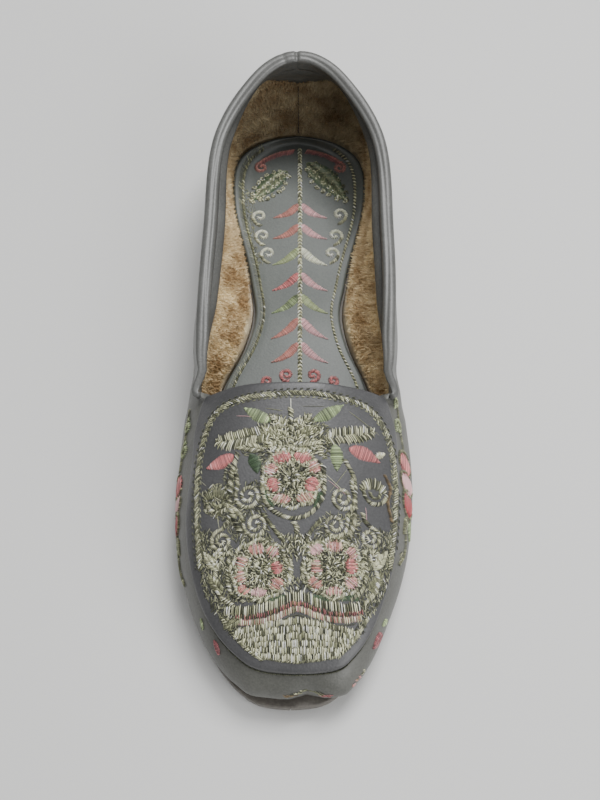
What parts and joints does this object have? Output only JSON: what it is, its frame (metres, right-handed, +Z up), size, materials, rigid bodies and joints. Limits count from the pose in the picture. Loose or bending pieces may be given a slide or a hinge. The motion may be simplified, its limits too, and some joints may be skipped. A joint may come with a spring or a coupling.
{
  "type": "khussa shoe",
  "caption": "Flat slip-on leather khussa for the left foot, with an embroidered apron on the vamp, a bound collar, plush-lined sides and a waisted embroidered insole.",
  "frame": {"origin": "on the floor under the middle of the shoe's length and width", "axes": "+Z up, +Y towards the heel, +X towards the outer side of the left foot; the toe points to -Y"},
  "size_m": [0.086, 0.2501, 0.0588],
  "materials": {
    "outsole_leather": "matt, waxed edge",
    "insole_leather": "satin",
    "upper_leather": "satin",
    "apron_leather": "satin",
    "binding_leather": "satin"
  },
  "bodies": {
    "root": {"outsole": "outsole_leather", "insole": "insole_leather", "upper": "upper_leather", "apron": "apron_leather", "collar_binding": "binding_leather"}
  },
  "joints": []
}
